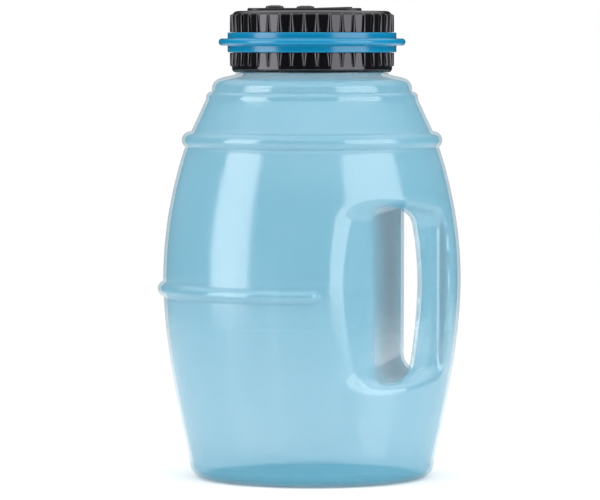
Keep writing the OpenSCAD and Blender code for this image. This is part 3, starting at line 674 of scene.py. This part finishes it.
def make_bezel():
    """Sloping surround of the coin slot, with a funnel that leads the coin in."""
    at, size = ((BEZEL_X0 + BEZEL_X1) / 2, 0), (BEZEL_X1 - BEZEL_X0, 38)
    loops = [inset_loop(at, size, 2.9, 0, PLATE_Z - 0.95)]
    for a in np.radians([0, 22, 45, 68, 90]):
        loop = inset_loop(at, size, 2.9, 0.35 * (1 - math.cos(a)), 0)
        drop = 0.35 * (1 - math.sin(a))
        loops.append([(x, y, PLATE_Z + 0.1 + 0.5 * (x - BEZEL_X0) / size[0] - drop) for x, y, _ in loop])
    body = from_rows("coin_bezel", turn(loops))
    slot = (SLOT_W, SLOT_L)
    funnel = [inset_loop((SLOT_CX, 0), slot, 1, 0, z) for z in (PLATE_Z - 2, PLATE_Z - 0.3)]
    funnel += [inset_loop((SLOT_CX, 0), slot, 1, -1.4 * (1 - math.cos(a)), PLATE_Z - 0.3 + 0.9 * math.sin(a))
               for a in np.radians([20, 40, 60, 80])]
    funnel.append(inset_loop((SLOT_CX, 0), slot, 1, -1.5, PLATE_Z + 2))
    combine(body, [from_rows("funnel", turn(funnel))], "DIFFERENCE", 50)
    return place(body, "lid", "lid_black", "coin_slot_bezel")


def make_window():
    window = slab("display_window", LCD_AT, LCD_SIZE, 1.4, PLATE_Z - 1.2, PLATE_Z, 0.2, 0.1)
    return place(window, "lid", "window_clear", "lcd_window")


def make_digits():
    """Seven-segment figures that read 0.00, just above the display's glass."""
    high, wide, bar, z0, z1 = 8.4, 4.6, 1.1, 235.22, 235.27
    lean = 0.1
    zero = [(0, high), (0, 0), (-wide / 2, high * 0.75), (wide / 2, high * 0.75),
            (-wide / 2, high * 0.25), (wide / 2, high * 0.25)]
    points, faces = [], []

    def prism(shape):
        start, n = len(points), len(shape)
        for z in (z0, z1):
            points.extend([(LCD_AT[0] + x + lean * y, LCD_AT[1] - 3.2 + y, z) for x, y in shape])
        faces.append(list(range(start, start + n))[::-1])
        faces.append(list(range(start + n, start + 2 * n)))
        for i in range(n):
            j = (i + 1) % n
            faces.append([start + i, start + j, start + n + j, start + n + i])

    def bar_shape(cx, cy, length, upright):
        h, b = length / 2, bar / 2
        shape = [(-h, 0), (-h + b, -b), (h - b, -b), (h, 0), (h - b, b), (-h + b, b)]
        if upright:
            shape = [(-y, x) for x, y in shape]
        return [(cx + x, cy + y) for x, y in shape]

    for cx in (-7.9, -0.3, 6.4):
        for x, y in zero:
            upright = x != 0
            prism(bar_shape(cx + x, y, (high / 2 if upright else wide) - 0.25, upright))
    prism([(-4.55, -0.45), (-3.65, -0.45), (-3.65, 0.45), (-4.55, 0.45)])
    digits = new_object("display_figures", turn(points), faces)
    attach(digits, "lid")
    return digits


# ---- materials ----

def shader(name, colour, rough, vary=0.06, scale=40.0, bump=0.0, **inputs):
    """Principled material whose colour and roughness drift a little over the surface."""
    mat = bpy.data.materials.new(name)
    mat.use_nodes = True
    nodes, links = mat.node_tree.nodes, mat.node_tree.links
    bsdf = nodes["Principled BSDF"]
    coords = nodes.new("ShaderNodeTexCoord")
    noise = nodes.new("ShaderNodeTexNoise")
    noise.inputs["Scale"].default_value = scale
    noise.inputs["Detail"].default_value = 4.0
    links.new(coords.outputs["Object"], noise.inputs["Vector"])
    mix = nodes.new("ShaderNodeMix")
    mix.data_type = "RGBA"
    mix.inputs["A"].default_value = [c * (1 - vary) for c in colour] + [1]
    mix.inputs["B"].default_value = [min(1, c * (1 + vary)) for c in colour] + [1]
    links.new(noise.outputs["Fac"], mix.inputs["Factor"])
    links.new(mix.outputs["Result"], bsdf.inputs["Base Color"])
    spread = nodes.new("ShaderNodeMapRange")
    spread.inputs["To Min"].default_value = rough * 0.8
    spread.inputs["To Max"].default_value = min(1, rough * 1.2)
    links.new(noise.outputs["Fac"], spread.inputs["Value"])
    links.new(spread.outputs["Result"], bsdf.inputs["Roughness"])
    if bump:
        grain = nodes.new("ShaderNodeTexNoise")
        grain.inputs["Scale"].default_value = 2500.0
        links.new(coords.outputs["Object"], grain.inputs["Vector"])
        relief = nodes.new("ShaderNodeBump")
        relief.inputs["Strength"].default_value = bump
        relief.inputs["Distance"].default_value = 0.0001
        links.new(grain.outputs["Fac"], relief.inputs["Height"])
        links.new(relief.outputs["Normal"], bsdf.inputs["Normal"])
    for key, value in inputs.items():
        bsdf.inputs[key.replace("_", " ")].default_value = value
    return mat


def satin_top(mat, height, rough):
    """Makes the faces above a height satin, as the mould leaves the lid's flat top."""
    nodes, links = mat.node_tree.nodes, mat.node_tree.links
    bsdf = nodes["Principled BSDF"]
    spread = bsdf.inputs["Roughness"].links[0].from_socket
    coords = nodes.new("ShaderNodeTexCoord")
    split = nodes.new("ShaderNodeSeparateXYZ")
    links.new(coords.outputs["Object"], split.inputs["Vector"])
    step = nodes.new("ShaderNodeMapRange")
    step.inputs["From Min"].default_value = height - 0.0002
    step.inputs["From Max"].default_value = height + 0.0001
    links.new(split.outputs["Z"], step.inputs["Value"])
    mix = nodes.new("ShaderNodeMix")
    mix.inputs["B"].default_value = rough
    links.new(step.outputs["Result"], mix.inputs["Factor"])
    links.new(spread, mix.inputs["A"])
    links.new(mix.outputs["Result"], bsdf.inputs["Roughness"])


def dress(obj, mat):
    """Gives the whole of obj one material."""
    obj.data.materials.clear()
    obj.data.materials.append(mat)


# ---- the whole object ----

jar = make_jar()
top_housing = make_top_housing()
lower_housing = make_lower_housing()
trim_ring = make_trim_ring()
left_button = make_button("left_cap", BUTTONS[0], BUTTON_TOPS[0], "left_button")
right_button = make_button("right_cap", BUTTONS[1], BUTTON_TOPS[1], "right_button")
bezel = make_bezel()
window = make_window()
digits = make_digits()

jar_plastic = shader("jar plastic", (0.055, 0.355, 0.50), 0.16, 0.05, 18.0, Alpha=0.36, IOR=1.575,
                     Specular_IOR_Level=1.0)
BLACK, BLACK_SHEEN = (0.003, 0.0032, 0.004), (0.93, 0.92, 1.0, 1.0)
black = shader("black gloss", BLACK, 0.10, 0.15, 60.0, IOR=1.5, Specular_Tint=BLACK_SHEEN)
satin_black = shader("black with satin top", BLACK, 0.10, 0.15, 60.0, IOR=1.5, Specular_Tint=BLACK_SHEEN)
satin_top(satin_black, 0.2362, 0.42)
blue = shader("ring blue", (0.0006, 0.175, 0.33), 0.2, 0.06, 40.0, IOR=1.5, Specular_IOR_Level=0.4)
clear = shader("window clear", (0.30, 0.34, 0.34), 0.05, 0.02, 30.0, Alpha=0.12)
ink = shader("display ink", (0.008, 0.009, 0.010), 0.6, 0.1, 200.0)
white = shader("white plastic", (0.75, 0.75, 0.73), 0.4, 0.04, 80.0, 0.1)
grey = shader("grey plastic", (0.11, 0.11, 0.115), 0.45, 0.08, 80.0, 0.1)
steel = shader("steel", (0.62, 0.62, 0.64), 0.28, 0.05, 300.0, Metallic=1.0)
bronze = shader("bronze", (0.62, 0.40, 0.18), 0.3, 0.06, 300.0, Metallic=1.0)
sleeve = shader("cell sleeve", (0.045, 0.055, 0.075), 0.3, 0.1, 100.0)
KEPT = {
    "lid_seal": shader("seal foam", (0.70, 0.70, 0.68), 0.7, 0.08, 200.0, 0.3),
    "lcd_panel": shader("display glass", (0.26, 0.32, 0.24), 0.3, 0.04, 60.0),
    "zebra_strip": shader("connector rubber", (0.62, 0.30, 0.32), 0.6, 0.08, 300.0, 0.2),
    "circuit_board": shader("board", (0.02, 0.16, 0.07), 0.35, 0.12, 120.0),
    "controller_chip": shader("chip resin", (0.012, 0.012, 0.013), 0.25, 0.1, 150.0),
    "tact_switches": shader("switch", (0.6, 0.6, 0.58), 0.4, 0.05, 200.0),
    "battery_wire_red": shader("red wire", (0.45, 0.015, 0.012), 0.4, 0.06, 200.0),
    "battery_wire_black": shader("black wire", (0.012, 0.012, 0.013), 0.4, 0.1, 200.0),
    "coin_chute": grey, "coin_lever": white, "lcd_frame": white, "lever_wiper": bronze,
    "lever_pin": steel, "lever_spring": steel, "board_screws": steel, "housing_screws": steel,
    "battery_door_screw": steel, "contact_link": steel, "contact_negative": steel,
    "contact_positive": steel, "battery_left": sleeve, "battery_right": sleeve, "battery_door": black,
}
dress(jar, jar_plastic)
for piece in (lower_housing, left_button, right_button):
    dress(piece, black)
for piece in (top_housing, bezel):
    dress(piece, satin_black)
dress(trim_ring, blue)
dress(window, clear)
dress(digits, ink)
for node, mat in KEPT.items():
    dress(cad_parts[node], mat)


# ---- studio ----

def area_light(name, azimuth, height, distance, size, power, tint=(1, 1, 1)):
    """Soft box that faces the jar; azimuth in degrees from the camera's direction, positive to its right."""
    data = bpy.data.lights.new(name, "AREA")
    data.shape, data.size, data.size_y, data.energy, data.color = "RECTANGLE", size[0], size[1], power, tint
    lamp = bpy.data.objects.new(name, data)
    bpy.context.scene.collection.objects.link(lamp)
    a = math.radians(-90 + CAMERA_AZ + azimuth)
    lamp.location = (distance * math.cos(a), distance * math.sin(a), height)
    lamp.rotation_euler = (Vector((0, 0, 0.12)) - lamp.location).to_track_quat("-Z", "Y").to_euler()
    lamp.visible_camera = False
    return lamp


CAMERA_AZ = 10.0
# Brightness of the room at the horizon and overhead
ROOM_LOW, ROOM_HIGH = 0.05, 1.9
camera_data = bpy.data.cameras.new("camera")
camera = bpy.data.objects.new("camera", camera_data)
bpy.context.scene.collection.objects.link(camera)
bpy.context.scene.camera = camera
camera_data.sensor_width, camera_data.lens = 36.0, 234.0
camera_data.clip_start, camera_data.clip_end = 0.05, 50.0
az = math.radians(CAMERA_AZ)
camera.location = (1.98 * math.sin(az), -1.98 * math.cos(az), 0.2206)
aim = Vector((-0.0061 * math.cos(az), -0.0061 * math.sin(az), 0.115))
camera.rotation_euler = (aim - camera.location).to_track_quat("-Z", "Y").to_euler()

area_light("left soft box", -66, 0.25, 1.3, (0.8, 1.5), 20)
area_light("right soft box", 54, 0.25, 1.3, (1.25, 1.5), 24)

floor_mesh = bpy.data.meshes.new("floor")
FLOOR_R = 1.4
floor_rim = [(FLOOR_R * math.cos(a), FLOOR_R * math.sin(a), 0) for a in np.arange(96) * math.pi / 48]
floor_mesh.from_pydata(floor_rim, [], [list(range(96))])
floor = bpy.data.objects.new("floor", floor_mesh)
floor.location.z = -0.0002
bpy.context.scene.collection.objects.link(floor)
floor_paint = shader("floor", (0.86, 0.86, 0.86), 0.7, 0.01, 3.0)
floor_mesh.materials.append(floor_paint)
# The floor fades out towards its edge, so that no horizon shows in the jar's reflections
nodes, links = floor_paint.node_tree.nodes, floor_paint.node_tree.links
place_on_floor = nodes.new("ShaderNodeTexCoord")
from_middle = nodes.new("ShaderNodeVectorMath")
from_middle.operation = "LENGTH"
fade = nodes.new("ShaderNodeMapRange")
fade.interpolation_type = "SMOOTHSTEP"
for socket, value in (("From Min", 0.30), ("From Max", FLOOR_R), ("To Min", 1.0), ("To Max", 0.0)):
    fade.inputs[socket].default_value = value
links.new(place_on_floor.outputs["Object"], from_middle.inputs[0])
links.new(from_middle.outputs["Value"], fade.inputs["Value"])
links.new(fade.outputs["Result"], next(n for n in nodes if n.type == "BSDF_PRINCIPLED").inputs["Alpha"])

world = bpy.data.worlds.new("studio")
bpy.context.scene.world = world
world.use_nodes = True
nodes, links = world.node_tree.nodes, world.node_tree.links
room = nodes["Background"]
room.inputs["Color"].default_value = (1, 1, 1, 1)
coords = nodes.new("ShaderNodeTexCoord")
split = nodes.new("ShaderNodeSeparateXYZ")
ceiling = nodes.new("ShaderNodeMapRange")
ceiling.inputs["From Min"].default_value = 0.35
ceiling.inputs["From Max"].default_value = 0.75
ceiling.inputs["To Min"].default_value = ROOM_LOW
ceiling.inputs["To Max"].default_value = ROOM_HIGH
links.new(coords.outputs["Generated"], split.inputs["Vector"])
links.new(split.outputs["Z"], ceiling.inputs["Value"])
links.new(ceiling.outputs["Result"], room.inputs["Strength"])
backdrop = nodes.new("ShaderNodeBackground")
backdrop.inputs["Color"].default_value = (1, 1, 1, 1)
backdrop.inputs["Strength"].default_value = 1.0
path = nodes.new("ShaderNodeLightPath")
pick = nodes.new("ShaderNodeMixShader")
links.new(path.outputs["Is Camera Ray"], pick.inputs["Fac"])
links.new(room.outputs["Background"], pick.inputs[1])
links.new(backdrop.outputs["Background"], pick.inputs[2])
links.new(pick.outputs["Shader"], nodes["World Output"].inputs["Surface"])

bpy.context.scene.view_settings.view_transform = "Standard"
bpy.context.scene.cycles.transparent_max_bounces = 32
